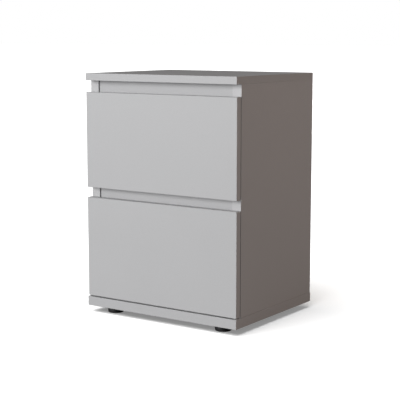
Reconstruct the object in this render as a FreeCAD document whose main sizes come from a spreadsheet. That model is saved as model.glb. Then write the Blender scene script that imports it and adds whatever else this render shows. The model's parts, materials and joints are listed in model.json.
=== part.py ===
import FreeCAD, Part
import math
import os
import re
import Sketcher

# Nightstand with two handle-less drawers on roller runners, in millimetres.
# +Z is up, the drawers open towards -Y, and +X is to the right of someone facing them.
# The origin is on the floor under the middle of the base panel.
# Left-hand pieces are modelled and mirrored in the YZ plane to make the right-hand ones.

# Driving dimensions, one spreadsheet cell each.
SIZES = {
    # carcass
    "width": 400, "depth": 320, "top_thickness": 16, "base_thickness": 21,
    "base_side_lip": 1, "base_front_lip": 0.5, "side_thickness": 22, "side_setback": 18.4,
    "edge_rounding": 0.4, "back_thickness": 3, "rebate_width": 10, "rebate_depth": 4,
    # drawer fronts and the finger gaps above them
    "upper_front_height": 214, "lower_front_height": 226.5, "upper_gap": 26, "middle_gap": 23,
    "base_gap": 2.5, "front_thickness": 15, "front_setback": 1.4,
    # rails behind the finger gaps
    "rail_thickness": 16, "rail_recess": 3, "rail_overlap": 12,
    # feet
    "foot_height": 15, "foot_diameter": 37, "foot_taper": 0.8, "foot_side_inset": 54,
    "foot_end_inset": 34, "foot_bevel": 0.8, "foot_recess_diameter": 13, "foot_recess_depth": 8,
    # drawer boxes
    "box_clearance": 12.5, "box_side_thickness": 12, "box_side_height": 160, "box_depth": 270,
    "box_rise": 16, "bottom_thickness": 3, "groove_height": 10, "groove_depth": 6,
    # runners
    "steel": 1.2, "steel_rounding": 0.3, "runner_length": 250, "channel_setback": 3,
    "channel_floor_reach": 10.3,
    "channel_roof_reach": 6, "angle_web": 11.3, "angle_shelf": 24, "angle_wing": 3,
    "box_lift": 2, "lift_gap": 1, "roller_diameter": 15, "roller_width": 6, "roller_bevel": 0.6,
    "roller_end_inset": 12, "running_gap": 0.3, "cabinet_roller_offset": 2.2,
    "drawer_roller_offset": 4.7, "pin_diameter": 4, "pin_play": 0.1, "pin_end_play": 0.3,
    "pin_head_diameter": 7, "pin_head_height": 1,
    "travel": 190, "stop_height": 5, "stop_width": 6, "stop_side": 3.5, "stop_reach": 6.8,
    # fasteners
    "fit_play": 0.1, "cam_diameter": 15, "cam_depth": 13.5, "rail_cam_depth": 12.5,
    "cam_cross": 7, "cross_width": 1.2, "cross_depth": 1, "cam_inset": 34, "rail_cam_inset": 24,
    "cam_row": 50, "bolt_axis": 9.5, "bolt_diameter": 6, "bolt_bite": 10,
    "dowel_row": 82, "dowel_diameter": 8, "dowel_half": 20, "dowel_bite": 10,
    "base_screw_row": 24, "base_screw_diameter": 7, "base_screw_shank": 5, "base_screw_bite": 28,
    "screw_diameter": 3.5, "screw_head_diameter": 7, "screw_head_height": 1.5, "screw_cross": 4.2,
    "runner_screw_bite": 13, "box_screw_bite": 24, "foot_screw_bite": 12,
    "box_cam_diameter": 12, "box_cam_cross": 6, "box_cam_depth": 9, "box_cam_inset": 24,
    "box_bolt_diameter": 5,
    "box_dowel_diameter": 6, "box_dowel_half": 16, "box_fastener_low": 40, "box_fastener_high": 120,
    "box_runner_screw_bite": 9, "box_runner_screw_head": 1.2,
    "nail_diameter": 1.6, "nail_head_diameter": 4, "nail_head_height": 0.6, "nail_bite": 10,
}

# Names worked out from the driving dimensions.
DERIVED = {
    "body_width": "width + 2 * base_side_lip",
    "full_depth": "depth + base_front_lip",
    "top_front": "base_front_lip - full_depth / 2",
    "back_plane": "full_depth / 2",
    "base_top": "foot_height + base_thickness",
    "lower_front_bottom": "base_top + base_gap",
    "upper_front_bottom": "lower_front_bottom + lower_front_height + middle_gap",
    "top_underside": "upper_front_bottom + upper_front_height + upper_gap",
    "side_height": "top_underside - base_top",
    "side_front": "top_front + side_setback",
    "side_depth": "depth - side_setback",
    "inner_width": "width - 2 * side_thickness",
    "front_back": "top_front + front_setback + front_thickness",
    "rail_front": "side_front + rail_recess",
    "upper_rail_height": "upper_gap + rail_overlap",
    "middle_rail_height": "middle_gap + 2 * rail_overlap",
    "upper_rail_bottom": "top_underside - upper_rail_height",
    "middle_rail_bottom": "upper_front_bottom - middle_gap - rail_overlap",
    "rail_middle": "rail_thickness / 2",
    "box_width": "inner_width - 2 * box_clearance",
    "box_inner_width": "box_width - 2 * box_side_thickness",
    "box_back_height": "box_side_height - groove_height - bottom_thickness",
    "box_margin": "(width - box_width) / 2",
    "roller_radius": "roller_diameter / 2",
    "roller_axis": "steel + running_gap + roller_radius",
    "wing_underside": "roller_axis + roller_radius + running_gap",
    "channel_roof": "wing_underside + steel + lift_gap",
    "channel_front": "side_front + channel_setback",
    "drawer_roller_row": "runner_length - roller_end_inset",
    "closed_roller_row": "front_back + drawer_roller_row - channel_front",
    "runner_screw_height": "roller_axis",
    "base_screw_row_back": "side_depth - base_screw_row",
    "cam_row_back": "side_depth - cam_row",
    "dowel_row_back": "side_depth - dowel_row",
}

RAILS = ("upper", "middle")
DRAWERS = ("upper", "lower")
CHANNEL_SCREW_ROWS = ("40", "125", "215")
ANGLE_SCREW_ROWS = ("30", "190")
# Sense of each sketch plane's normal along its axis.
NORMAL_SENSE = {"XY": 1, "XZ": -1, "YZ": 1}

document = FreeCAD.newDocument("nightstand")
sheet = document.addObject("Spreadsheet::Sheet", "Sizes")
nodes = {}


# ---------------------------------------------------------------- formulas

def in_sheet(formula):
    """Write a formula's names as references to spreadsheet cells."""
    def reference(match):
        word = match.group(0)
        if word in DERIVED:
            return "(" + in_sheet(DERIVED[word]) + ")"
        if word in SIZES:
            return "Sizes." + word
        raise ValueError("unknown size: " + word)
    return re.sub(r"[a-z_]+", reference, formula)


def bind(thing, prop, formula):
    """Drive a property from the spreadsheet."""
    thing.setExpression(prop, in_sheet(formula))


def place(thing, corner):
    """Put a piece's own origin at a corner given by three formulas."""
    for axis, formula in zip("xyz", corner):
        bind(thing, "Placement.Base." + axis, formula)


def fill_sheet():
    for row, (alias, size) in enumerate(SIZES.items(), start=1):
        sheet.set(f"A{row}", alias)
        sheet.set(f"B{row}", str(size))
        sheet.setAlias(f"B{row}", alias)
    document.recompute()


# ---------------------------------------------------------------- sketches

def new_body(name):
    body = document.addObject("PartDesign::Body", name)
    body.AllowCompound = True
    return body


def sketch_on(body, plane, offset="0"):
    """Start a sketch parallel to one of the body's origin planes, offset along the positive axis."""
    sketch = body.newObject("Sketcher::SketchObject", "Sketch")
    support = [item for item in body.Origin.OriginFeatures if item.Role == plane + "_Plane"]
    sketch.AttachmentSupport = [(support[0], "")]
    sketch.MapMode = "FlatFace"
    bind(sketch, "AttachmentOffset.Base.z", f"{NORMAL_SENSE[plane]} * ({offset})")
    return sketch


def locate(sketch, geometry, vertex, point):
    """Hold a vertex at the given distances from the sketch's origin."""
    for kind, formula in zip(("DistanceX", "DistanceY"), point):
        index = sketch.addConstraint(Sketcher.Constraint(kind, -1, 1, geometry, vertex, 1.0))
        bind(sketch, f"Constraints[{index}]", formula)


def draw_polygon(sketch, corners):
    first = sketch.GeometryCount
    count = len(corners)
    ring = [FreeCAD.Vector(math.cos(turn), math.sin(turn), 0)
            for turn in (2 * math.pi * step / count for step in range(count))]
    for index in range(count):
        line = Part.LineSegment(ring[index], ring[(index + 1) % count])
        sketch.addGeometry(line, False)
    for index in range(count):
        following = first + (index + 1) % count
        sketch.addConstraint(Sketcher.Constraint("Coincident", first + index, 2, following, 1))
    for index, corner in enumerate(corners):
        locate(sketch, first + index, 1, corner)


def draw_circles(sketch, centres, diameter):
    for centre in centres:
        start = FreeCAD.Vector(3 * sketch.GeometryCount, 0, 0)
        circle = Part.Circle(start, FreeCAD.Vector(0, 0, 1), 1)
        index = sketch.addGeometry(circle, False)
        size = sketch.addConstraint(Sketcher.Constraint("Diameter", index, 2.0))
        bind(sketch, f"Constraints[{size}]", diameter)
        locate(sketch, index, 3, centre)


def rectangle(low, high):
    """Corners of a rectangle between two points."""
    return [(low[0], low[1]), (high[0], low[1]), (high[0], high[1]), (low[0], high[1])]


def both_ends(points, length):
    """Points given from one end of a piece, and the same points from its other end."""
    return points + [(f"{length} - ({along})", across) for along, across in points]


# ---------------------------------------------------------------- features

def pad(body, sketch, length):
    """Extrude a sketch along the positive axis."""
    feature = body.newObject("PartDesign::Pad", "Pad")
    feature.Profile = sketch
    feature.Reversed = sketch.AttachmentSupport[0][0].Role == "XZ_Plane"
    bind(feature, "Length", length)
    return feature


def cut(body, sketch, depth):
    """Cut a sketch to a depth on either side of its plane; one of the sides is in the air."""
    feature = body.newObject("PartDesign::Pocket", "Pocket")
    feature.Profile = sketch
    feature.SideType = "Symmetric"
    bind(feature, "Length", f"2 * ({depth})")
    return feature


def round_edges(body, feature, radius):
    fillet = body.newObject("PartDesign::Fillet", "Fillet")
    fillet.Base = (feature, ["Edge1"])
    fillet.UseAllEdges = True
    bind(fillet, "Radius", radius)
    return fillet


def bevel_edges(body, feature, size):
    chamfer = body.newObject("PartDesign::Chamfer", "Chamfer")
    chamfer.Base = (feature, ["Edge1"])
    chamfer.UseAllEdges = True
    bind(chamfer, "Size", size)
    return chamfer


def drill(body, plane, offset, centres, diameter, depth):
    sketch = sketch_on(body, plane, offset)
    draw_circles(sketch, centres, f"{diameter} + fit_play")
    cut(body, sketch, depth)


def mill(body, plane, offset, low, high, depth):
    """Cut a rectangular groove or rebate."""
    sketch = sketch_on(body, plane, offset)
    draw_polygon(sketch, rectangle(low, high))
    cut(body, sketch, depth)


# ---------------------------------------------------------------- pieces

def keep(name, piece):
    """Register a finished piece as a node of its own."""
    piece.Label = name
    nodes[name] = piece
    return piece


def mirrored(piece, name):
    mirror = document.addObject("Part::Mirroring", name)
    mirror.Source = piece
    mirror.Base = FreeCAD.Vector(0, 0, 0)
    mirror.Normal = FreeCAD.Vector(1, 0, 0)
    return mirror


def group(name, pieces):
    """Gather identical fasteners in one node."""
    compound = document.addObject("Part::Compound", name)
    compound.Links = pieces
    return keep(name, compound)


def board(name, size, corner):
    """A flat panel with lightly rounded edges, between its corner and the corner plus its size."""
    body = new_body(name)
    sketch = sketch_on(body, "XY")
    draw_polygon(sketch, rectangle(("0", "0"), (size[0], size[1])))
    round_edges(body, pad(body, sketch, size[2]), "edge_rounding")
    place(body, corner)
    return body


def pins(name, plane, start, centres, diameter, length, corner):
    """Plain round bars along the plane's axis."""
    body = new_body(name)
    sketch = sketch_on(body, plane, start)
    draw_circles(sketch, centres, diameter)
    pad(body, sketch, length)
    place(body, corner)
    return body


def cross_recess(body, plane, offset, centres, reach, depth):
    """Sink a driver's cross into every head at the given centres."""
    for long_side, short_side in ((reach, "cross_width"), ("cross_width", reach)):
        sketch = sketch_on(body, plane, offset)
        for across, up in centres:
            low = (f"{across} - {long_side} / 2", f"{up} - {short_side} / 2")
            high = (f"{across} + {long_side} / 2", f"{up} + {short_side} / 2")
            draw_polygon(sketch, rectangle(low, high))
        cut(body, sketch, depth)


def headed(name, plane, face, centres, shank, head, head_height, bite, toward, corner, cross=True):
    """Screws, nails or rivets: heads that stand on a face, shanks that go beyond it.

    toward is 1 when the shanks run along the plane's positive axis and -1 when they run back.
    """
    body = new_body(name)
    shank_start = face if toward > 0 else f"{face} - ({bite})"
    head_start = f"{face} - {head_height}" if toward > 0 else face
    head_end = f"{face} - {toward} * {head_height}"
    for start, diameter, length in ((shank_start, shank, bite), (head_start, head, head_height)):
        sketch = sketch_on(body, plane, start)
        draw_circles(sketch, centres, diameter)
        pad(body, sketch, length)
    if cross:
        cross_recess(body, plane, head_end, centres, "screw_cross", "cross_depth")
    place(body, corner)
    return body


# ---------------------------------------------------------------- carcass

LEFT_SIDE = ("-width / 2", "side_front", "base_top")
SIDE_CAMS = [("cam_row", "side_height - cam_inset"), ("cam_row_back", "side_height - cam_inset")]
SIDE_BOLTS = [("side_thickness - bolt_axis", "cam_row"), ("side_thickness - bolt_axis", "cam_row_back")]
SIDE_DOWELS = [("side_thickness / 2", "dowel_row"), ("side_thickness / 2", "dowel_row_back")]
BASE_SCREWS = [("side_thickness / 2", "base_screw_row"), ("side_thickness / 2", "base_screw_row_back")]
BACK_NAIL_HEIGHTS = [f"side_height * {share}" for share in (0.06, 0.28, 0.5, 0.72, 0.94)]


def rail_corner(rail):
    return ("-inner_width / 2", "rail_front", f"{rail}_rail_bottom")


def rail_bolt_height(rail):
    return f"{rail}_rail_height * 0.3"


def rail_dowel_height(rail):
    return f"{rail}_rail_height * 0.7"


def channel_bottom(drawer):
    """Level of a runner channel's underside."""
    return f"{drawer}_front_bottom + box_rise - box_lift"


def shifted(points, along, across):
    return [(f"{x} + {along}", f"{y} + {across}") for x, y in points]


def build_top():
    corner = ("-width / 2", "top_front", "top_underside")
    top = board("top_panel", ("width", "depth", "top_thickness"), corner)
    bolts = both_ends(shifted(SIDE_BOLTS, "0", "side_setback"), "width")
    dowels = both_ends(shifted(SIDE_DOWELS, "0", "side_setback"), "width")
    drill(top, "XY", "0", bolts, "bolt_diameter", "bolt_bite")
    drill(top, "XY", "0", dowels, "dowel_diameter", "dowel_bite")
    keep("top_panel", top)


def foot_centres():
    """Centres of the four feet from the base panel's front left corner."""
    ends = ("foot_end_inset", "full_depth - foot_end_inset")
    return [(side, end) for end in ends for side in ("foot_side_inset", "body_width - foot_side_inset")]


def build_base():
    size = ("body_width", "full_depth", "base_thickness")
    base = board("base_panel", size, ("-body_width / 2", "-full_depth / 2", "foot_height"))
    lip = "base_front_lip + side_setback"
    dowels = both_ends(shifted(SIDE_DOWELS, "base_side_lip", lip), "body_width")
    screws = both_ends(shifted(BASE_SCREWS, "base_side_lip", lip), "body_width")
    drill(base, "XY", "base_thickness", dowels, "dowel_diameter", "dowel_bite")
    drill(base, "XY", "0", screws, "base_screw_diameter", "base_thickness")
    drill(base, "XY", "0", foot_centres(), "screw_diameter", "foot_screw_bite")
    keep("base_panel", base)


def side_rail_holes(height_of):
    """Centres on the side panel's inner face for what enters the ends of both rails."""
    row = "rail_recess + rail_middle"
    return [(row, f"{rail}_rail_bottom - base_top + {height_of(rail)}") for rail in RAILS]


def side_runner_holes():
    row = "channel_setback"
    return [(f"{row} + {along}", f"{channel_bottom(drawer)} + runner_screw_height - base_top")
            for drawer in DRAWERS for along in CHANNEL_SCREW_ROWS]


def build_sides():
    left = board("side_panel_left", ("side_thickness", "side_depth", "side_height"), LEFT_SIDE)
    mill(left, "XY", "0", ("side_thickness - rebate_width", "side_depth - rebate_depth"),
         ("side_thickness + rebate_width", "side_depth + rebate_depth"), "side_height")
    drill(left, "YZ", "side_thickness", SIDE_CAMS, "cam_diameter", "cam_depth")
    drill(left, "XY", "side_height", SIDE_BOLTS, "bolt_diameter", "cam_inset")
    drill(left, "XY", "side_height", SIDE_DOWELS, "dowel_diameter", "dowel_half")
    drill(left, "XY", "0", SIDE_DOWELS, "dowel_diameter", "dowel_half")
    drill(left, "XY", "0", BASE_SCREWS, "base_screw_shank", "base_screw_bite")
    drill(left, "YZ", "side_thickness", side_rail_holes(rail_bolt_height), "bolt_diameter", "bolt_bite")
    drill(left, "YZ", "side_thickness", side_rail_holes(rail_dowel_height), "dowel_diameter", "dowel_bite")
    drill(left, "YZ", "side_thickness", side_runner_holes(), "screw_diameter", "runner_screw_bite")
    nails = [("side_thickness - rebate_width / 2", height) for height in BACK_NAIL_HEIGHTS]
    drill(left, "XZ", "side_depth", nails, "nail_diameter", "nail_bite + rebate_depth")
    keep("side_panel_left", left)
    keep("side_panel_right", mirrored(left, "side_panel_right"))


def build_rail(rail):
    name = f"{rail}_rail"
    body = board(name, ("inner_width", "rail_thickness", f"{rail}_rail_height"), rail_corner(rail))
    bolt_height = rail_bolt_height(rail)
    dowel_height = rail_dowel_height(rail)
    cam_centres = both_ends([("rail_cam_inset", bolt_height)], "inner_width")
    drill(body, "XZ", "rail_thickness", cam_centres, "cam_diameter", "rail_cam_depth")
    for end in ("0", "inner_width"):
        drill(body, "YZ", end, [("rail_middle", bolt_height)], "bolt_diameter", "rail_cam_inset")
        drill(body, "YZ", end, [("rail_middle", dowel_height)], "dowel_diameter", "dowel_half")
    keep(name, body)


def build_back():
    """The hardboard back, in the rebates of the side panels and nailed up both edges."""
    corner = ("-inner_width / 2 - rebate_width", "back_plane - rebate_depth", "base_top")
    body = new_body("back_panel")
    sketch = sketch_on(body, "XY")
    back_width = "inner_width + 2 * rebate_width"
    draw_polygon(sketch, rectangle(("0", "0"), (back_width, "back_thickness")))
    pad(body, sketch, "side_height")
    place(body, corner)
    rows = [("rebate_width / 2", height) for height in BACK_NAIL_HEIGHTS]
    centres = both_ends(rows, back_width)
    drill(body, "XZ", "back_thickness", centres, "nail_diameter", "back_thickness")
    keep("back_panel", body)
    nails = headed("nails", "XZ", "back_thickness", centres, "nail_diameter", "nail_head_diameter",
                   "nail_head_height", "nail_bite", -1, corner, cross=False)
    group("back_nails", [nails])


def build_feet():
    """Tapered plastic feet with a recessed screw."""
    names = ("foot_front_left", "foot_front_right", "foot_back_left", "foot_back_right")
    hole = "(screw_diameter + fit_play) / 2"
    recess = "foot_recess_diameter / 2"
    rim = "foot_diameter / 2"
    outline = [(recess, "0"), (f"{rim} - foot_taper - foot_bevel", "0"),
               (f"{rim} - foot_taper", "foot_bevel"), (rim, "foot_height * 0.4"),
               (rim, "foot_height - foot_bevel"), (f"{rim} - foot_bevel", "foot_height"),
               (hole, "foot_height"), (hole, "foot_recess_depth"), (recess, "foot_recess_depth")]
    for name, (across, along) in zip(names, foot_centres()):
        body = new_body(name)
        sketch = sketch_on(body, "XZ")
        draw_polygon(sketch, outline)
        turned = body.newObject("PartDesign::Revolution", "Revolution")
        turned.Profile = sketch
        turned.ReferenceAxis = (sketch, ["V_Axis"])
        turned.Angle = 360
        place(body, (f"{across} - body_width / 2", f"{along} - full_depth / 2", "0"))
        keep(name, body)
    corner = ("-body_width / 2", "-full_depth / 2", "0")
    bite = "foot_height - foot_recess_depth + foot_screw_bite"
    screws = headed("foot_screws", "XY", "foot_recess_depth", foot_centres(), "screw_diameter",
                    "screw_head_diameter", "screw_head_height", bite, 1, corner)
    group("foot_screws", [screws])


# ---------------------------------------------------------------- carcass fasteners

def cams(name, plane, span, face, centres, sizes, bolt_plane, bolt_centres, corner):
    """Cam locks that span two offsets of a plane, with a driver's cross sunk in their outer face
    and a hole right across them, along another plane's axis, for the bolt's head.
    """
    start, depth = span
    diameter, cross, bolt = sizes
    body = pins(name, plane, start, centres, diameter, depth, corner)
    sketch = sketch_on(body, bolt_plane)
    draw_circles(sketch, bolt_centres, f"{bolt} + fit_play")
    cut(body, sketch, "side_height")
    cross_recess(body, plane, face, centres, cross, "cross_depth")
    return body


def build_cabinet_cams():
    sizes = ("cam_diameter", "cam_cross", "bolt_diameter")
    left = cams("side_cams", "YZ", ("side_thickness - cam_depth", "cam_depth"), "side_thickness",
                SIDE_CAMS, sizes, "XY", SIDE_BOLTS, LEFT_SIDE)
    parts = [left, mirrored(left, "side_cams_right")]
    for rail in RAILS:
        height = rail_bolt_height(rail)
        centres = both_ends([("rail_cam_inset", height)], "inner_width")
        span = ("rail_thickness - rail_cam_depth", "rail_cam_depth")
        parts.append(cams(f"{rail}_rail_cams", "XZ", span, "rail_thickness", centres, sizes,
                          "YZ", [("rail_middle", height)], rail_corner(rail)))
    group("cabinet_cam_locks", parts)


def build_cabinet_bolts():
    reach = "cam_inset + bolt_bite"
    left = pins("side_bolts", "XY", "side_height - cam_inset", SIDE_BOLTS, "bolt_diameter", reach, LEFT_SIDE)
    parts = [left, mirrored(left, "side_bolts_right")]
    for rail in RAILS:
        centre = [("rail_middle", rail_bolt_height(rail))]
        bolt = pins(f"{rail}_rail_bolt", "YZ", "-bolt_bite", centre, "bolt_diameter",
                    "rail_cam_inset + bolt_bite", rail_corner(rail))
        parts += [bolt, mirrored(bolt, f"{rail}_rail_bolt_right")]
    group("cabinet_cam_bolts", parts)


def build_cabinet_dowels():
    length = "dowel_half + dowel_bite"
    above = pins("top_dowels", "XY", "side_height - dowel_half", SIDE_DOWELS, "dowel_diameter",
                 length, LEFT_SIDE)
    below = pins("base_dowels", "XY", "-dowel_bite", SIDE_DOWELS, "dowel_diameter",
                 length, LEFT_SIDE)
    left = [above, below]
    for rail in RAILS:
        centre = [("rail_middle", rail_dowel_height(rail))]
        left.append(pins(f"{rail}_rail_dowel", "YZ", "-dowel_bite", centre, "dowel_diameter",
                         length, rail_corner(rail)))
    group("cabinet_dowels", left + [mirrored(piece, piece.Name + "_right") for piece in left])


def build_base_screws():
    """Screws up through the base into the side panels, their heads sunk flush."""
    corner = ("-width / 2", "side_front", "foot_height")
    body = pins("base_screws_left", "XY", "0", BASE_SCREWS, "base_screw_diameter", "base_thickness", corner)
    sketch = sketch_on(body, "XY", "base_thickness")
    draw_circles(sketch, BASE_SCREWS, "base_screw_shank")
    pad(body, sketch, "base_screw_bite")
    cross_recess(body, "XY", "0", BASE_SCREWS, "screw_cross", "cross_depth")
    group("base_screws", [body, mirrored(body, "base_screws_right")])


# ---------------------------------------------------------------- runners

def profile(name, outline, corner):
    """A rolled steel section extruded towards the back."""
    body = new_body(name)
    sketch = sketch_on(body, "XZ")
    draw_polygon(sketch, outline)
    round_edges(body, pad(body, sketch, "runner_length"), "steel_rounding")
    place(body, corner)
    return body


def channel_corner(drawer):
    return ("-inner_width / 2", "channel_front", channel_bottom(drawer))


def angle_corner(drawer):
    return ("-inner_width / 2", "front_back", channel_bottom(drawer))


def raise_stops(body):
    """Tabs bent up from a channel's floor, where the drawer's roller stops when shut and fully open."""
    rows = ("closed_roller_row + stop_reach", "closed_roller_row - travel - stop_reach - steel")
    for row in rows:
        sketch = sketch_on(body, "XZ", row)
        high = ("stop_side + stop_width", "stop_height")
        draw_polygon(sketch, rectangle(("stop_side", "0"), high))
        pad(body, sketch, "steel")


def build_channel(drawer):
    """The cabinet's runner: a C section open towards the drawer."""
    roof_top = "channel_roof + steel"
    outline = [("0", "0"), ("channel_floor_reach", "0"), ("channel_floor_reach", "steel"),
               ("steel", "steel"), ("steel", "channel_roof"), ("channel_roof_reach", "channel_roof"),
               ("channel_roof_reach", roof_top), ("0", roof_top)]
    name = f"{drawer}_channel"
    body = profile(name, outline, channel_corner(drawer))
    raise_stops(body)
    screws = [(along, "runner_screw_height") for along in CHANNEL_SCREW_ROWS]
    drill(body, "YZ", "0", screws, "screw_diameter", "steel")
    drill(body, "YZ", "0", [("roller_end_inset", "roller_axis")], "pin_diameter", "steel")
    keep(name + "_left", body)
    keep(name + "_right", mirrored(body, name + "_right"))


def build_angle(drawer):
    """The drawer's runner: a shelf under the box side, a web beside it and a wing over the roller."""
    web_inside = "box_clearance"
    wing_top = "wing_underside + steel"
    outline = [("angle_web", "box_lift - steel"), ("angle_shelf", "box_lift - steel"),
               ("angle_shelf", "box_lift"), (web_inside, "box_lift"), (web_inside, wing_top),
               ("angle_wing", wing_top), ("angle_wing", "wing_underside"),
               ("angle_web", "wing_underside")]
    name = f"{drawer}_drawer_runner"
    body = profile(name, outline, angle_corner(drawer))
    screws = [(along, "runner_screw_height") for along in ANGLE_SCREW_ROWS]
    drill(body, "YZ", "angle_web", screws, "screw_diameter", "2 * steel")
    drill(body, "YZ", "angle_web", [("drawer_roller_row", "roller_axis")], "pin_diameter", "2 * steel")
    keep(name + "_left", body)
    keep(name + "_right", mirrored(body, name + "_right"))


def build_roller(name, row, offset, corner):
    """A plastic roller on its pin, turning about the X direction."""
    body = new_body(name)
    sketch = sketch_on(body, "YZ", offset)
    draw_circles(sketch, [(row, "roller_axis")], "roller_diameter")
    draw_circles(sketch, [(row, "roller_axis")], "pin_diameter + pin_play")
    bevel_edges(body, pad(body, sketch, "roller_width"), "roller_bevel")
    place(body, corner)
    keep(name + "_left", body)
    keep(name + "_right", mirrored(body, name + "_right"))


def build_rollers(drawer):
    build_roller(f"{drawer}_channel_roller", "roller_end_inset", "cabinet_roller_offset",
                 channel_corner(drawer))
    build_roller(f"{drawer}_drawer_roller", "drawer_roller_row", "drawer_roller_offset",
                 angle_corner(drawer))


def build_channel_pins():
    """Rivets that carry the cabinet's rollers."""
    parts = []
    for drawer in DRAWERS:
        end = "cabinet_roller_offset + roller_width + pin_end_play"
        pin = headed(f"{drawer}_channel_pin", "YZ", end, [("roller_end_inset", "roller_axis")],
                     "pin_diameter", "pin_head_diameter", "pin_head_height", end, -1,
                     channel_corner(drawer), cross=False)
        parts += [pin, mirrored(pin, pin.Name + "_right")]
    group("channel_roller_pins", parts)


def build_drawer_pins(drawer):
    """Rivets that carry the drawer's rollers."""
    face = "drawer_roller_offset - pin_end_play"
    pin = headed(f"{drawer}_angle_pin", "YZ", face, [("drawer_roller_row", "roller_axis")],
                 "pin_diameter", "pin_head_diameter", "pin_head_height",
                 f"box_clearance - ({face})", 1, angle_corner(drawer), cross=False)
    group(f"{drawer}_drawer_roller_pins", [pin, mirrored(pin, pin.Name + "_right")])


def build_channel_screws():
    parts = []
    for drawer in DRAWERS:
        centres = [(along, "runner_screw_height") for along in CHANNEL_SCREW_ROWS]
        screws = headed(f"{drawer}_channel_screws", "YZ", "steel", centres, "screw_diameter",
                        "screw_head_diameter", "screw_head_height", "runner_screw_bite", -1,
                        channel_corner(drawer))
        parts += [screws, mirrored(screws, screws.Name + "_right")]
    group("channel_screws", parts)


# ---------------------------------------------------------------- drawers

def box_corner(drawer):
    """Lower front outer corner of the box's left side."""
    return ("-box_width / 2", "front_back", f"{drawer}_front_bottom + box_rise")


BOX_BOLTS = [("box_side_thickness / 2", "box_fastener_low"), ("box_side_thickness / 2", "box_fastener_high")]
BOX_DOWELS = [("box_side_thickness / 2", "(box_fastener_low + box_fastener_high) / 2")]
BOX_CAMS = [("box_cam_inset", "box_fastener_low"), ("box_cam_inset", "box_fastener_high")]
BOX_BACK_SCREWS = [("box_depth - box_side_thickness / 2", "box_fastener_low"),
                   ("box_depth - box_side_thickness / 2", "box_fastener_high")]


def build_front(drawer):
    """The drawer's face, fixed to the box sides and grooved at the back for the drawer's bottom."""
    name = f"{drawer}_drawer_front"
    size = ("width", "front_thickness", f"{drawer}_front_height")
    body = board(name, size, ("-width / 2", "top_front + front_setback", f"{drawer}_front_bottom"))
    bolts = both_ends(shifted(BOX_BOLTS, "box_margin", "box_rise"), "width")
    dowels = both_ends(shifted(BOX_DOWELS, "box_margin", "box_rise"), "width")
    drill(body, "XZ", "front_thickness", bolts, "box_bolt_diameter", "bolt_bite")
    drill(body, "XZ", "front_thickness", dowels, "box_dowel_diameter", "bolt_bite")
    left_end = "box_margin + box_side_thickness - groove_depth"
    low = (left_end, "box_rise + groove_height")
    high = (f"width - ({left_end})", "box_rise + groove_height + bottom_thickness")
    mill(body, "XZ", "front_thickness", low, high, "groove_depth")
    keep(name, body)


def build_box_sides(drawer):
    name = f"{drawer}_box_side"
    size = ("box_side_thickness", "box_depth", "box_side_height")
    body = board(name, size, box_corner(drawer))
    low = ("-groove_depth", "groove_height")
    high = ("box_depth + groove_depth", "groove_height + bottom_thickness")
    mill(body, "YZ", "box_side_thickness", low, high, "groove_depth")
    drill(body, "YZ", "0", BOX_CAMS, "box_cam_diameter", "box_cam_depth")
    drill(body, "XZ", "0", BOX_BOLTS, "box_bolt_diameter", "box_cam_inset")
    drill(body, "XZ", "0", BOX_DOWELS, "box_dowel_diameter", "box_dowel_half")
    drill(body, "YZ", "0", BOX_BACK_SCREWS, "screw_diameter", "box_side_thickness")
    lift = "runner_screw_height - box_lift"
    screws = [(along, lift) for along in ANGLE_SCREW_ROWS]
    drill(body, "YZ", "0", screws, "screw_diameter", "box_runner_screw_bite")
    keep(name + "_left", body)
    keep(name + "_right", mirrored(body, name + "_right"))


def box_back_corner(drawer):
    return ("-box_inner_width / 2", "front_back + box_depth - box_side_thickness",
            f"{drawer}_front_bottom + box_rise + groove_height + bottom_thickness")


def box_nail_centres():
    """Nails through the drawer's bottom into the box's back."""
    return [(f"box_inner_width * {share}", "box_side_thickness / 2") for share in (0.1, 0.5, 0.9)]


def build_box_back(drawer):
    name = f"{drawer}_box_back"
    size = ("box_inner_width", "box_side_thickness", "box_back_height")
    body = board(name, size, box_back_corner(drawer))
    lift = "groove_height + bottom_thickness"
    heights = [f"box_fastener_low - ({lift})", f"box_fastener_high - ({lift})"]
    for end in ("0", "box_inner_width"):
        centres = [("box_side_thickness / 2", height) for height in heights]
        drill(body, "YZ", end, centres, "screw_diameter", "box_screw_bite")
    drill(body, "XY", "0", box_nail_centres(), "nail_diameter", "nail_bite")
    keep(name, body)


def build_bottom(drawer):
    name = f"{drawer}_drawer_bottom"
    body = new_body(name)
    sketch = sketch_on(body, "XY")
    size = ("box_inner_width + 2 * groove_depth", "box_depth + groove_depth")
    draw_polygon(sketch, rectangle(("0", "0"), size))
    pad(body, sketch, "bottom_thickness")
    place(body, ("-box_inner_width / 2 - groove_depth", "front_back - groove_depth",
                 f"{drawer}_front_bottom + box_rise + groove_height"))
    nails = shifted(box_nail_centres(), "groove_depth", "groove_depth + box_depth - box_side_thickness")
    drill(body, "XY", "0", nails, "nail_diameter", "bottom_thickness")
    keep(name, body)


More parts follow.
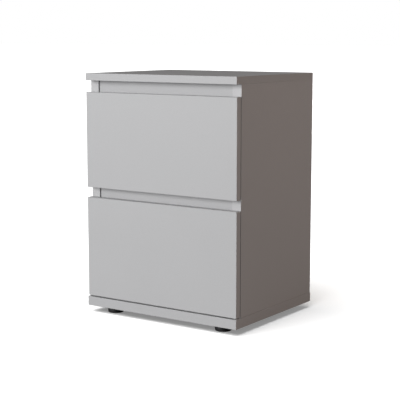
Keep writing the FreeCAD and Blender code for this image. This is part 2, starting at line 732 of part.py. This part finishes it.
def build_box_fasteners(drawer):
    corner = box_corner(drawer)
    sizes = ("box_cam_diameter", "box_cam_cross", "box_bolt_diameter")
    locks = cams(f"{drawer}_cams", "YZ", ("0", "box_cam_depth"), "0", BOX_CAMS, sizes,
                 "XZ", BOX_BOLTS, corner)
    bolts = pins(f"{drawer}_bolts", "XZ", "-bolt_bite", BOX_BOLTS, "box_bolt_diameter",
                 "box_cam_inset + bolt_bite", corner)
    dowels = pins(f"{drawer}_dowels", "XZ", "-bolt_bite", BOX_DOWELS, "box_dowel_diameter",
                  "box_dowel_half + bolt_bite", corner)
    back_bite = "box_side_thickness + box_screw_bite"
    back_screws = headed(f"{drawer}_back_screws", "YZ", "0", BOX_BACK_SCREWS, "screw_diameter",
                         "screw_head_diameter", "screw_head_height", back_bite, 1, corner)
    centres = [(along, "runner_screw_height") for along in ANGLE_SCREW_ROWS]
    runner_bite = "steel + box_runner_screw_bite"
    runner_screws = headed(f"{drawer}_angle_screws", "YZ", "angle_web", centres, "screw_diameter",
                           "screw_head_diameter", "box_runner_screw_head", runner_bite, 1,
                           angle_corner(drawer))
    sets = {"cam_locks": locks, "cam_bolts": bolts, "dowels": dowels, "box_screws": back_screws,
            "runner_screws": runner_screws}
    for kind, left in sets.items():
        group(f"{drawer}_drawer_{kind}", [left, mirrored(left, left.Name + "_right")])
    nail_corner = box_back_corner(drawer)
    nails = headed(f"{drawer}_bottom_nails_set", "XY", "-bottom_thickness", box_nail_centres(),
                   "nail_diameter", "nail_head_diameter", "nail_head_height",
                   "bottom_thickness + nail_bite", 1, nail_corner, cross=False)
    group(f"{drawer}_drawer_bottom_nails", [nails])


# ---------------------------------------------------------------- assembly

def build_cabinet():
    build_top()
    build_base()
    build_sides()
    build_back()
    for rail in RAILS:
        build_rail(rail)
    build_feet()
    build_cabinet_cams()
    build_cabinet_bolts()
    build_cabinet_dowels()
    build_base_screws()


def build_drawer(drawer):
    build_front(drawer)
    build_box_sides(drawer)
    build_box_back(drawer)
    build_bottom(drawer)
    build_box_fasteners(drawer)
    build_channel(drawer)
    build_angle(drawer)
    build_rollers(drawer)
    build_drawer_pins(drawer)


def check_document():
    for thing in document.Objects:
        if "Invalid" in thing.State or "Error" in thing.State:
            raise RuntimeError(f"{thing.Label}: {thing.State}")
    for name, piece in nodes.items():
        if piece.Shape.isNull() or not piece.Shape.isValid():
            raise RuntimeError(name + " has no valid shape")


def export_nodes():
    os.makedirs("parts", exist_ok=True)
    for name, piece in nodes.items():
        piece.Shape.exportStep(f"parts/{name}.step")
    print(len(nodes), "nodes")


fill_sheet()
build_cabinet()
for drawer_name in DRAWERS:
    build_drawer(drawer_name)
build_channel_pins()
build_channel_screws()
document.recompute()
check_document()
export_nodes()
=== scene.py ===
"""Looks of a small nightstand with two handle-less drawers, in metres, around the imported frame."""
import json
import math

import bpy
from mathutils import Euler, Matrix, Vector


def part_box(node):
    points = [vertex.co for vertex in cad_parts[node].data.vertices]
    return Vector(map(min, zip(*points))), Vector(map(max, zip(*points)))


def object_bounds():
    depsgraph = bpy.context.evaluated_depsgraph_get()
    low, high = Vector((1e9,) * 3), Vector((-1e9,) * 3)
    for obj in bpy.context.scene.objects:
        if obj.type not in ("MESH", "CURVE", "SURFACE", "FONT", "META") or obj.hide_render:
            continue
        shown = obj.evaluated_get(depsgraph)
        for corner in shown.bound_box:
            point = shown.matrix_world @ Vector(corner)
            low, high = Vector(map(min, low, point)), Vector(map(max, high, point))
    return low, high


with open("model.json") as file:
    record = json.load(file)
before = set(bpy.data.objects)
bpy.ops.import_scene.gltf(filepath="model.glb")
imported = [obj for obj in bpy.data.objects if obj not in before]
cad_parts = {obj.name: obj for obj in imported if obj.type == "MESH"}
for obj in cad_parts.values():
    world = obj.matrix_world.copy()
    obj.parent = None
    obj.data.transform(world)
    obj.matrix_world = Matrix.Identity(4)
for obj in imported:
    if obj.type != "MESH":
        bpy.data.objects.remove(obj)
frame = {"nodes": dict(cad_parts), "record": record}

MM = 0.001

NODES = frame["nodes"]
CAD_LOW, CAD_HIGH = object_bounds()

# Camera: place, angles and lens that give the photograph's perspective.
CAMERA_PLACE = (1.440, -2.104, 0.625)
CAMERA_YAW = math.radians(34.39)
CAMERA_TILT = math.radians(8.25)
CAMERA_LENS = 101.56
CAMERA_SENSOR = 36.0

# Colours, linear.
WHITE = (1, 1, 1, 1)
GREY_LAMINATE = (0.425, 0.425, 0.432, 1)
# Rails' laminate a shade darker than the rest: painted shade for the gaps between the top, the fronts
# and the rails.
RAIL_LAMINATE_PAINTED_SHADE = (0.398, 0.398, 0.406, 1)
BOX_FOIL = (0.60, 0.60, 0.60, 1)
HARDBOARD_BROWN = (0.40, 0.245, 0.13, 1)
HARDBOARD_FOIL = (0.55, 0.55, 0.55, 1)
BLACK_PLASTIC = (0.012, 0.012, 0.013, 1)
NYLON = (0.72, 0.72, 0.69, 1)
EPOXY_WHITE = (0.66, 0.66, 0.64, 1)
ZINC = (0.55, 0.55, 0.56, 1)
BRIGHT_ZINC = (0.66, 0.67, 0.68, 1)
BEECH = (0.52, 0.34, 0.17, 1)

# Laminate: cells per metre of its textures, then lengths.
CLOUD_CELLS = 7.0
PEARL_CELLS = 1100.0
FLECK_CELLS = 700.0
SCUFF_CELLS = 55.0
BAND_WIDTH = 0.8 * MM
BOX_BAND_WIDTH = 0.4 * MM
BAND_FADE = 1.05
SEAM_HALF = 0.08 * MM
SEAM_FADE = 0.22 * MM
RUB_FULL = 0.2 * MM
RUB_END = 1.0 * MM
LAMINATE_RELIEF = 0.06 * MM

# Hardboard: cells per metre of its textures, then lengths.
FIBRE_CELLS = 420.0
BLOTCH_CELLS = 14.0
BARK_CELLS = 650.0
WEAVE_CELLS = 1400.0
HARDBOARD_MESH = 1.6 * MM
HARDBOARD_RELIEF = 0.08 * MM


# ---------------------------------------------------------------- node helpers

class Shader:
    """A material and short ways of adding nodes to it."""

    def __init__(self, name):
        self.material = bpy.data.materials.new(name)
        self.material.use_nodes = True
        self.tree = self.material.node_tree
        self.surface = self.tree.nodes["Principled BSDF"]

    def node(self, kind, **settings):
        made = self.tree.nodes.new(kind)
        for key, setting in settings.items():
            setattr(made, key, setting)
        return made

    def feed(self, socket, source):
        """Connect a node's output to a socket, or set the socket to a number or colour."""
        if isinstance(source, bpy.types.NodeSocket):
            self.tree.links.new(source, socket)
        else:
            socket.default_value = source

    def place(self):
        """The point in the row frame at rest."""
        return self.node("ShaderNodeTexCoord").outputs["Object"]

    def axes(self, vector):
        split = self.node("ShaderNodeSeparateXYZ")
        self.feed(split.inputs[0], vector)
        return split.outputs

    def math(self, operation, first, second=0.0):
        made = self.node("ShaderNodeMath", operation=operation)
        self.feed(made.inputs[0], first)
        self.feed(made.inputs[1], second)
        return made.outputs[0]

    def fold(self, operation, sources):
        """Combine any number of sources with one operation, from left to right."""
        result = sources[0]
        for source in sources[1:]:
            result = self.math(operation, result, source)
        return result

    def product(self, *sources):
        return self.fold("MULTIPLY", sources)

    def total(self, *sources):
        return self.fold("ADD", sources)

    def invert(self, source):
        """1 where the source is 0, and 0 where it is 1."""
        return self.math("SUBTRACT", 1.0, source)

    def noise(self, vector, scale, detail=2.0, roughness=0.5, stretch=None):
        """Noise between 0 and 1, with scale in cells per metre."""
        if stretch:
            mapping = self.node("ShaderNodeMapping")
            mapping.inputs["Scale"].default_value = stretch
            self.feed(mapping.inputs["Vector"], vector)
            vector = mapping.outputs[0]
        made = self.node("ShaderNodeTexNoise")
        self.feed(made.inputs["Vector"], vector)
        made.inputs["Scale"].default_value = scale
        made.inputs["Detail"].default_value = detail
        made.inputs["Roughness"].default_value = roughness
        return made.outputs["Fac"]

    def spread(self, source, low, high):
        """Map 0..1 to low..high."""
        made = self.node("ShaderNodeMapRange")
        self.feed(made.inputs["Value"], source)
        made.inputs["To Min"].default_value = low
        made.inputs["To Max"].default_value = high
        return made.outputs[0]

    def band(self, source, low, high):
        """0 at low, 1 at high, straight between."""
        made = self.node("ShaderNodeMapRange")
        self.feed(made.inputs["Value"], source)
        made.inputs["From Min"].default_value = low
        made.inputs["From Max"].default_value = high
        return made.outputs[0]

    def pressed_mesh(self, place, across, pitch):
        """The print of a wire mesh in a plane: 0 under the wires, 1 between them."""
        ridges = []
        for axis in range(3):
            if axis != across:
                phase = self.math("MULTIPLY", self.axes(place)[axis], math.pi / pitch)
                ridges.append(self.math("ABSOLUTE", self.math("SINE", phase)))
        return self.product(*ridges)

    def mix(self, factor, first, second):
        made = self.node("ShaderNodeMix", data_type="RGBA")
        self.feed(made.inputs["Factor"], factor)
        self.feed(made.inputs["A"], first)
        self.feed(made.inputs["B"], second)
        return made.outputs["Result"]

    def shade(self, colour, factor):
        """Multiply a colour by a number."""
        made = self.node("ShaderNodeVectorMath", operation="SCALE")
        made.inputs[0].default_value = colour[:3]
        self.feed(made.inputs["Scale"], factor)
        return made.outputs[0]

    def bump(self, height, depth, strength=1.0):
        made = self.node("ShaderNodeBump")
        made.inputs["Strength"].default_value = strength
        made.inputs["Distance"].default_value = depth
        self.feed(made.inputs["Height"], height)
        return made.outputs[0]

    def finish(self, colour, roughness, normal, metallic=0.0, specular=0.5):
        self.feed(self.surface.inputs["Base Color"], colour)
        self.feed(self.surface.inputs["Roughness"], roughness)
        self.feed(self.surface.inputs["Normal"], normal)
        self.surface.inputs["Metallic"].default_value = metallic
        self.surface.inputs["Specular IOR Level"].default_value = specular
        return self.material


# ---------------------------------------------------------------- materials

def face_distances(shader, place, low, high):
    """Distance from the nearer of a board's two faces, along each axis."""
    axes = shader.axes(place)
    distances = []
    for axis in range(3):
        from_low = shader.math("SUBTRACT", axes[axis], low[axis])
        from_high = shader.math("SUBTRACT", high[axis], axes[axis])
        distances.append(shader.math("MINIMUM", from_low, from_high))
    return distances


def corner_distance(shader, distances):
    """Distance from a board's nearest sharp edge: the middle one of the three face distances."""
    first, second, third = distances
    lower = shader.math("MINIMUM", first, second)
    upper = shader.math("MAXIMUM", first, second)
    return shader.math("MAXIMUM", lower, shader.math("MINIMUM", upper, third))


def edge_bands(shader, distances, banded_axes, width):
    """1 on the edge bands, and 1 on the thin seam where they meet the large face."""
    reach = shader.fold("MINIMUM", [distances[axis] for axis in banded_axes])
    banded = shader.invert(shader.band(reach, width, width * BAND_FADE))
    off_seam = shader.math("ABSOLUTE", shader.math("SUBTRACT", reach, width))
    return banded, shader.invert(shader.band(off_seam, SEAM_HALF, SEAM_FADE))


def laminate(node, banded_axes, colour, width=BAND_WIDTH, band_tone_with_painted_light=0.975, gloss=0.46):
    """Matt laminate with a pearl texture; edge bands a shade apart (a lighter band is painted light),
    their seam, and rubbed edges.
    """
    shader = Shader("laminate_" + node)
    place = shader.place()
    low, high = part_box(node)
    distances = face_distances(shader, place, low, high)
    banded, seam = edge_bands(shader, distances, banded_axes, width)
    cloud = shader.noise(place, CLOUD_CELLS, detail=3.0)
    pearl = shader.noise(place, PEARL_CELLS, detail=1.0)
    fleck = shader.band(shader.noise(place, FLECK_CELLS, detail=2.0, roughness=0.7), 0.60, 0.72)
    scuffs = shader.band(shader.noise(place, SCUFF_CELLS, detail=5.0, roughness=0.75), 0.48, 0.66)
    by_edge = shader.invert(shader.band(corner_distance(shader, distances), RUB_FULL, RUB_END))
    tone = shader.product(
        shader.spread(cloud, 0.975, 1.025),
        shader.spread(pearl, 0.90, 1.10),
        shader.spread(fleck, 1.005, 0.94),
        shader.spread(banded, 1.0, band_tone_with_painted_light),
        shader.spread(seam, 1.0, 0.80),
        shader.spread(shader.product(scuffs, by_edge), 1.0, 1.12))
    roughness = shader.total(
        shader.spread(pearl, gloss - 0.08, gloss + 0.08),
        shader.product(banded, -0.06),
        shader.spread(cloud, -0.06, 0.06))
    relief = shader.total(pearl, shader.product(fleck, -0.5), shader.product(seam, -1.5))
    normal = shader.bump(relief, LAMINATE_RELIEF, strength=0.7)
    return shader.finish(shader.shade(colour, tone), roughness, normal, specular=0.38)


def hardboard(node, outward_axis, outward_sign):
    """Thin fibreboard: brown fibres with a pressed mesh on its outer face, foil on the inner one."""
    shader = Shader("hardboard_" + node)
    place = shader.place()
    facing = shader.axes(shader.node("ShaderNodeNewGeometry").outputs["Normal"])[outward_axis]
    raw = shader.band(shader.math("MULTIPLY", facing, outward_sign), 0.4, 0.6)
    fibres = shader.noise(place, FIBRE_CELLS, detail=5.0, roughness=0.7, stretch=(1.0, 1.0, 0.4))
    blotch = shader.noise(place, BLOTCH_CELLS, detail=4.0)
    specks = shader.noise(place, BARK_CELLS, detail=1.0, stretch=(1.0, 1.0, 0.6))
    weave = shader.noise(place, WEAVE_CELLS, detail=0.0)
    mesh = shader.pressed_mesh(place, outward_axis, HARDBOARD_MESH)
    tone = shader.product(
        shader.spread(fibres, 0.55, 1.45),
        shader.spread(blotch, 0.82, 1.18),
        shader.spread(shader.band(specks, 0.66, 0.72), 1.0, 0.55),
        shader.spread(mesh, 0.88, 1.08))
    brown = shader.shade(HARDBOARD_BROWN, tone)
    foil = shader.shade(HARDBOARD_FOIL, shader.spread(weave, 0.92, 1.08))
    roughness = shader.spread(raw, 0.5, 0.82)
    relief = shader.total(shader.product(shader.total(fibres, mesh), raw), shader.product(weave, 0.3))
    normal = shader.bump(relief, HARDBOARD_RELIEF)
    return shader.finish(shader.mix(raw, foil, brown), roughness, normal, specular=0.35)


def moulded_plastic(name, colour, roughness, grain):
    """Moulded plastic with a spark-eroded grain and faint scuffs."""
    shader = Shader(name)
    place = shader.place()
    texture = shader.noise(place, grain, detail=1.0)
    scuff = shader.noise(place, 90.0, detail=4.0, roughness=0.7)
    tone = shader.product(shader.spread(texture, 0.92, 1.08), shader.spread(scuff, 0.9, 1.15))
    worn = shader.total(roughness - 0.05, shader.product(scuff, 0.12))
    normal = shader.bump(texture, 0.03 * MM, strength=0.6)
    return shader.finish(shader.shade(colour, tone), worn, normal, specular=0.45)


def coated_steel(name, colour):
    """Powder-coated steel with an orange-peel surface."""
    shader = Shader(name)
    place = shader.place()
    peel = shader.noise(place, 700.0, detail=2.0)
    dust = shader.noise(place, 40.0, detail=4.0)
    tone = shader.product(shader.spread(peel, 0.97, 1.03), shader.spread(dust, 0.95, 1.03))
    normal = shader.bump(peel, 0.03 * MM, strength=0.5)
    return shader.finish(shader.shade(colour, tone), shader.spread(dust, 0.3, 0.42), normal)


def plated_metal(name, colour, roughness, grain):
    """Zinc: bright plate with fine drawn scratches, or the duller skin of a casting."""
    shader = Shader(name)
    place = shader.place()
    spangle = shader.noise(place, grain, detail=3.0)
    scratch = shader.noise(place, 2200.0, detail=2.0, stretch=(1.0, 0.15, 1.0))
    tone = shader.product(shader.spread(spangle, 0.85, 1.1), shader.spread(scratch, 0.94, 1.04))
    worn = shader.total(roughness - 0.06, shader.product(spangle, 0.14))
    normal = shader.bump(scratch, 0.01 * MM)
    return shader.finish(shader.shade(colour, tone), worn, normal, metallic=1.0)


def beech(name):
    """Beech with short dark flecks along the grain."""
    shader = Shader(name)
    place = shader.place()
    grain = shader.noise(place, 300.0, detail=4.0, stretch=(0.15, 1.0, 1.0))
    flecks = shader.noise(place, 900.0, detail=1.0, stretch=(0.2, 1.0, 1.0))
    dark = shader.spread(shader.band(flecks, 0.62, 0.7), 1.0, 0.7)
    tone = shader.product(shader.spread(grain, 0.8, 1.15), dark)
    return shader.finish(shader.shade(BEECH, tone), 0.6, shader.bump(grain, 0.05 * MM))


# ---------------------------------------------------------------- dressing the CAD nodes

# Axes whose ends carry an edge band, and the band's tone beside the face's; the side panels' lighter
# tone (1.04) is painted light, lifting their front edges out of the gaps' shade.
CARCASS_BANDS = {
    "top_panel": ((0, 1), 0.95),
    "base_panel": ((0, 1), 0.99),
    # Side panels: lighter bands, painted light on their front edges.
    "side_panel_left": ((1, 2), 1.04),
    "side_panel_right": ((1, 2), 1.04),
    "upper_rail": ((0,), 0.99),
    "middle_rail": ((0,), 0.99),
    "upper_drawer_front": ((0, 2), 0.99),
    "lower_drawer_front": ((0, 2), 0.99),
}
BOX_BANDS = {"box_side_left": (1, 2), "box_side_right": (1, 2), "box_back": (0, 2)}


def dress(node, material):
    for slot in NODES[node].material_slots:
        slot.material = material


def dress_boards():
    for node, (axes, tone) in CARCASS_BANDS.items():
        # Rails take the darker laminate, painted shade for the gaps they stand back in.
        colour = RAIL_LAMINATE_PAINTED_SHADE if node.endswith("rail") else GREY_LAMINATE
        dress(node, laminate(node, axes, colour, band_tone_with_painted_light=tone))
    for drawer in ("upper", "lower"):
        for piece, axes in BOX_BANDS.items():
            node = f"{drawer}_{piece}"
            dress(node, laminate(node, axes, BOX_FOIL, width=BOX_BAND_WIDTH, gloss=0.5))
        bottom = f"{drawer}_drawer_bottom"
        dress(bottom, hardboard(bottom, 2, -1.0))
    dress("back_panel", hardboard("back_panel", 1, 1.0))


def dress_hardware():
    by_slot = {
        "foot_plastic": moulded_plastic("foot_plastic_black", BLACK_PLASTIC, 0.5, 1300.0),
        "roller_plastic": moulded_plastic("roller_nylon", NYLON, 0.38, 1800.0),
        "runner_steel": coated_steel("runner_epoxy", EPOXY_WHITE),
        "cam_zinc": plated_metal("cam_casting", ZINC, 0.48, 500.0),
        "fastener_steel": plated_metal("fastener_plate", BRIGHT_ZINC, 0.3, 900.0),
        "dowel_wood": beech("dowel_beech"),
    }
    for entry in frame["record"]["subparts"]:
        if entry["material_slot"] in by_slot:
            dress(entry["node"], by_slot[entry["material_slot"]])


# ---------------------------------------------------------------- studio

FLOOR_BOUNCE = (0.12, 0.12, 0.12, 1)
FLOOR_SEEN = (0.8, 0.8, 0.8, 1)
FLOOR_GLOW = 0.235
FLOOR_HALF = 60.0
FLOOR_LEVEL = -0.2 * MM
SKY_SEEN = 1.0
SKY_LIGHT = 0.2

# Soft boxes for the nightstand: size, power, colour, azimuth, elevation and distance.
SOFT_BOXES = {
    "key": (6.0, 935, (1.0, 1.0, 1.0), 24, 9, 8.0),
    "warm_fill": (1.2, 18.0, (1.0, 0.69, 0.53), -100, 20, 3.2),
    "back_light": (0.5, 50.0, (1.0, 1.0, 1.0), 180, 0, 3.0),
}

# The overhead light, for the floor alone.
OVERHEAD_STRENGTH = 4.8
OVERHEAD_SPREAD = math.radians(66)
OVERHEAD_AZIMUTH = 15
OVERHEAD_ELEVATION = 60
OVERHEAD_DISTANCE = 4.0


def floor_material():
    """A white shooting table that glows a little, and that only shows from above."""
    shader = Shader("studio_white")
    seen = shader.node("ShaderNodeLightPath").outputs["Is Camera Ray"]
    diffuse = shader.node("ShaderNodeBsdfDiffuse")
    shader.feed(diffuse.inputs["Color"], shader.mix(seen, FLOOR_BOUNCE, FLOOR_SEEN))
    glow = shader.node("ShaderNodeEmission")
    glow.inputs["Color"].default_value = WHITE
    shader.feed(glow.inputs["Strength"], shader.math("MULTIPLY", seen, FLOOR_GLOW))
    both = shader.node("ShaderNodeAddShader")
    shader.feed(both.inputs[0], diffuse.outputs[0])
    shader.feed(both.inputs[1], glow.outputs[0])
    sided = shader.node("ShaderNodeMixShader")
    shader.feed(sided.inputs[0], shader.node("ShaderNodeNewGeometry").outputs["Backfacing"])
    shader.feed(sided.inputs[1], both.outputs[0])
    shader.feed(sided.inputs[2], shader.node("ShaderNodeBsdfTransparent").outputs[0])
    shader.feed(shader.tree.nodes["Material Output"].inputs["Surface"], sided.outputs[0])
    return shader.material


def make_floor():
    mesh = bpy.data.meshes.new("floor")
    outline = ((-1, -1), (1, -1), (1, 1), (-1, 1))
    corners = [(x * FLOOR_HALF, y * FLOOR_HALF, FLOOR_LEVEL) for x, y in outline]
    mesh.from_pydata(corners, [], [(0, 1, 2, 3)])
    floor = bpy.data.objects.new("floor", mesh)
    bpy.context.scene.collection.objects.link(floor)
    mesh.materials.append(floor_material())
    return floor


def make_sky():
    """An even sky that is dim as a light and white where the camera sees it."""
    world = bpy.data.worlds.new("studio")
    bpy.context.scene.world = world
    world.use_nodes = True
    tree = world.node_tree
    seen = tree.nodes["Background"]
    seen.inputs["Color"].default_value = WHITE
    seen.inputs["Strength"].default_value = SKY_SEEN
    light = tree.nodes.new("ShaderNodeBackground")
    light.inputs["Color"].default_value = WHITE
    light.inputs["Strength"].default_value = SKY_LIGHT
    path = tree.nodes.new("ShaderNodeLightPath")
    mix = tree.nodes.new("ShaderNodeMixShader")
    tree.links.new(path.outputs["Is Camera Ray"], mix.inputs[0])
    tree.links.new(light.outputs[0], mix.inputs[1])
    tree.links.new(seen.outputs[0], mix.inputs[2])
    tree.links.new(mix.outputs[0], tree.nodes["World Output"].inputs["Surface"])


def only_for(lamp, floor, state):
    """Let a lamp light only the floor (INCLUDE) or everything else (EXCLUDE)."""
    group = bpy.data.collections.new(f"{lamp.name}_receivers")
    group.objects.link(floor)
    group.collection_objects[0].light_linking.link_state = state
    lamp.light_linking.receiver_collection = group


def aim(lamp, azimuth, elevation, distance):
    """Place a lamp around the nightstand's middle; azimuth 0 is in front, 90 on the left."""
    around = math.radians(azimuth)
    up = math.radians(elevation)
    level = math.cos(up)
    back = Vector((-math.sin(around) * level, -math.cos(around) * level, math.sin(up)))
    lamp.location = (CAD_LOW + CAD_HIGH) / 2 + back * distance
    lamp.rotation_euler = back.to_track_quat("Z", "Y").to_euler()
    bpy.context.scene.collection.objects.link(lamp)


def make_soft_box(name, size, power, colour):
    light = bpy.data.lights.new(name, "AREA")
    light.shape = "SQUARE"
    light.size = size
    light.energy = power
    light.color = colour
    return bpy.data.objects.new(name, light)


def make_lights(floor):
    for name, (size, power, colour, azimuth, elevation, distance) in SOFT_BOXES.items():
        lamp = make_soft_box(name, size, power, colour)
        aim(lamp, azimuth, elevation, distance)
        only_for(lamp, floor, "EXCLUDE")
    light = bpy.data.lights.new("overhead", "SUN")
    light.energy = OVERHEAD_STRENGTH
    light.angle = OVERHEAD_SPREAD
    overhead = bpy.data.objects.new("overhead", light)
    aim(overhead, OVERHEAD_AZIMUTH, OVERHEAD_ELEVATION, OVERHEAD_DISTANCE)
    only_for(overhead, floor, "INCLUDE")


def make_camera():
    data = bpy.data.cameras.new("camera")
    data.lens = CAMERA_LENS
    data.sensor_width = CAMERA_SENSOR
    camera = bpy.data.objects.new("camera", data)
    camera.location = CAMERA_PLACE
    camera.rotation_euler = Euler((math.pi / 2 - CAMERA_TILT, 0, CAMERA_YAW))
    bpy.context.scene.collection.objects.link(camera)
    bpy.context.scene.camera = camera


bpy.context.scene.view_settings.view_transform = "Standard"
make_camera()
dress_boards()
dress_hardware()
studio_floor = make_floor()
make_sky()
make_lights(studio_floor)
